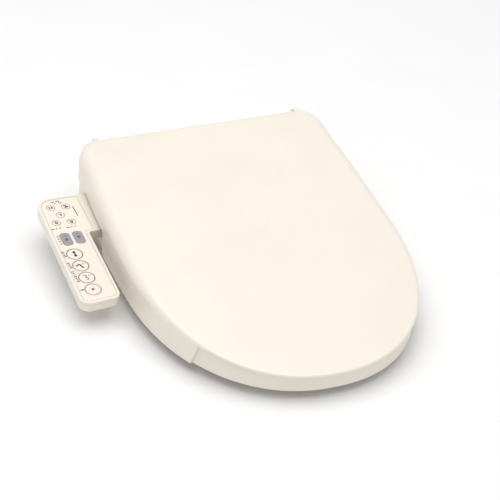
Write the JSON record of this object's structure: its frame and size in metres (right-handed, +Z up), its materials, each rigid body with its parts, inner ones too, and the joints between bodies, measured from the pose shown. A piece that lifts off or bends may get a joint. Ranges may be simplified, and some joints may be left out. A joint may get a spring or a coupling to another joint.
{
  "type": "electric bidet seat",
  "caption": "D-shaped domed lid over a heated seat ring, hinged on a low washing unit with a sliding nozzle and a control panel on a side arm",
  "frame": {"origin": "midway between the two fixing bolts, on the underside of the base plate, which rests on the toilet bowl's rim plane", "axes": "+Z up, -Y towards the front of the bowl, +Y towards the cistern, the control panel at -X"},
  "size_m": [0.4686, 0.531, 0.1152],
  "materials": {
    "ivory_plastic": "glossy moulded ivory plastic",
    "key_plastic": "satin ivory keys with dark printed rings and signs",
    "soft_key": "soft blue-grey keys",
    "face_sheet": "satin ivory face sheet with a thin grey border line",
    "grey_plastic": "grey moulded plastic",
    "white_plastic": "white moulded plastic",
    "rubber": "soft pale grey rubber",
    "steel": "brushed stainless steel",
    "brass": "turned brass",
    "circuit_board": "green circuit board",
    "heater_foil": "foil heating sheet"
  },
  "bodies": {
    "base": {"base_plate": "grey_plastic"},
    "unit": {"lower_case": "ivory_plastic", "upper_cover": "ivory_plastic", "seat_hinge_pin_left": "steel", "seat_hinge_pin_right": "steel", "lid_damper": "grey_plastic", "seat_damper": "grey_plastic", "nozzle_guide": "white_plastic", "nozzle_motor": "steel", "water_tank": "white_plastic", "tank_heater": "steel", "thermostat": "steel", "inlet_valve": "grey_plastic", "flow_valve": "grey_plastic", "inlet_fitting": "brass", "feed_tube": "rubber", "wash_tube": "rubber", "power_board": "circuit_board", "power_transformer": "steel", "fan_housing": "grey_plastic", "cord_gland": "rubber", "panel_lower_case": "ivory_plastic", "panel_top_cover": "ivory_plastic", "panel_face_sheet": "face_sheet", "panel_board": "circuit_board", "indicator_lamps": "white_plastic"},
    "release": {"release_button": "grey_plastic"},
    "lid_shaft": {"lid_hinge_pin_left": "steel", "lid_hinge_pin_right": "steel"},
    "lid": {"lid_shell": "ivory_plastic", "lid_hinge_lug_left": "ivory_plastic", "lid_hinge_lug_right": "ivory_plastic", "lid_buffer_left": "rubber", "lid_buffer_right": "rubber"},
    "seat": {"seat_top": "ivory_plastic", "seat_bottom": "ivory_plastic", "seat_heater": "heater_foil", "seat_hinge_lug_left": "ivory_plastic", "seat_hinge_lug_right": "ivory_plastic", "seat_buffer_rear_left": "rubber", "seat_buffer_rear_right": "rubber", "seat_buffer_front_left": "rubber", "seat_buffer_front_right": "rubber"},
    "nozzle": {"nozzle_tip": "white_plastic", "nozzle_wand": "steel"},
    "pinion": {"drive_pinion": "white_plastic"},
    "impeller": {"fan_impeller": "white_plastic"},
    "filter": {"filter_cartridge": "grey_plastic"},
    "drain": {"drain_plug": "grey_plastic"},
    "button_massage": {"button_massage": "key_plastic"},
    "button_rear_wash": {"button_rear_wash": "key_plastic"},
    "button_front_wash": {"button_front_wash": "key_plastic"},
    "button_stop": {"button_stop": "key_plastic"},
    "button_power": {"button_power": "key_plastic"},
    "button_water_heat": {"button_water_heat": "key_plastic"},
    "button_energy_save": {"button_energy_save": "key_plastic"},
    "button_seat_heat": {"button_seat_heat": "key_plastic"},
    "button_deodorise": {"button_deodorise": "key_plastic"},
    "button_pressure_less": {"button_pressure_less": "soft_key"},
    "button_pressure_more": {"button_pressure_more": "soft_key"}
  },
  "joints": [
    {"name": "unit_slide", "type": "slide", "parent": "base", "child": "unit", "axis": [0, -1, 0], "range_m": [0, 0.06]},
    {"name": "release_press", "type": "slide", "parent": "unit", "child": "release", "axis": [-1, 0, 0], "range_m": [0, 0.003], "stiffness_N_per_m": 800},
    {"name": "seat_hinge", "type": "hinge", "parent": "unit", "child": "seat", "pos_m": [0, -0.062, 0.05], "axis": [1, 0, 0], "range_deg": [-97, 0]},
    {"name": "lid_shaft_turn", "type": "hinge", "parent": "unit", "child": "lid_shaft", "pos_m": [0, 0.052, 0.092], "axis": [1, 0, 0], "range_deg": [-97, 0]},
    {"name": "lid_hinge", "type": "hinge", "parent": "lid_shaft", "child": "lid", "pos_m": [0, 0.052, 0.092], "axis": [-1, 0, 0], "range_deg": [0, 105]},
    {"name": "nozzle_slide", "type": "slide", "parent": "unit", "child": "nozzle", "axis": [0, -0.8829, -0.4695], "range_m": [0, 0.11]},
    {"name": "pinion_spin", "type": "hinge", "parent": "unit", "child": "pinion", "pos_m": [0, -0.03313, 0.06165], "axis": [-1, 0, 0], "range_deg": [0, 1205]},
    {"name": "fan_spin", "type": "hinge", "parent": "unit", "child": "impeller", "pos_m": [-0.07, -0.048, 0.025], "axis": [0, 0, 1], "continuous": true},
    {"name": "filter_slide", "type": "slide", "parent": "unit", "child": "filter", "axis": [0, 1, 0], "range_m": [0, 0.035]},
    {"name": "drain_slide", "type": "slide", "parent": "unit", "child": "drain", "axis": [0, 1, 0], "range_m": [0, 0.018]},
    {"name": "press_massage", "type": "slide", "parent": "unit", "child": "button_massage", "axis": [0, 0.0872, -0.9962], "range_m": [0, 0.0008], "stiffness_N_per_m": 1500},
    {"name": "press_rear_wash", "type": "slide", "parent": "unit", "child": "button_rear_wash", "axis": [0, 0.0872, -0.9962], "range_m": [0, 0.0008], "stiffness_N_per_m": 1500},
    {"name": "press_front_wash", "type": "slide", "parent": "unit", "child": "button_front_wash", "axis": [0, 0.0872, -0.9962], "range_m": [0, 0.0008], "stiffness_N_per_m": 1500},
    {"name": "press_stop", "type": "slide", "parent": "unit", "child": "button_stop", "axis": [0, 0.0872, -0.9962], "range_m": [0, 0.0008], "stiffness_N_per_m": 1500},
    {"name": "press_power", "type": "slide", "parent": "unit", "child": "button_power", "axis": [0, 0.0872, -0.9962], "range_m": [0, 0.0008], "stiffness_N_per_m": 1500},
    {"name": "press_water_heat", "type": "slide", "parent": "unit", "child": "button_water_heat", "axis": [0, 0.0872, -0.9962], "range_m": [0, 0.0008], "stiffness_N_per_m": 1500},
    {"name": "press_energy_save", "type": "slide", "parent": "unit", "child": "button_energy_save", "axis": [0, 0.0872, -0.9962], "range_m": [0, 0.0008], "stiffness_N_per_m": 1500},
    {"name": "press_seat_heat", "type": "slide", "parent": "unit", "child": "button_seat_heat", "axis": [0, 0.0872, -0.9962], "range_m": [0, 0.0008], "stiffness_N_per_m": 1500},
    {"name": "press_deodorise", "type": "slide", "parent": "unit", "child": "button_deodorise", "axis": [0, 0.0872, -0.9962], "range_m": [0, 0.0008], "stiffness_N_per_m": 1500},
    {"name": "press_pressure_less", "type": "slide", "parent": "unit", "child": "button_pressure_less", "axis": [0, 0.0872, -0.9962], "range_m": [0, 0.0008], "stiffness_N_per_m": 1500},
    {"name": "press_pressure_more", "type": "slide", "parent": "unit", "child": "button_pressure_more", "axis": [0, 0.0872, -0.9962], "range_m": [0, 0.0008], "stiffness_N_per_m": 1500}
  ],
  "couplings": [
    {"joint": "lid_shaft_turn", "follows": "seat_hinge", "ratio": 1},
    {"joint": "pinion_spin", "follows": "nozzle_slide", "rad_per_m": 190.5}
  ]
}
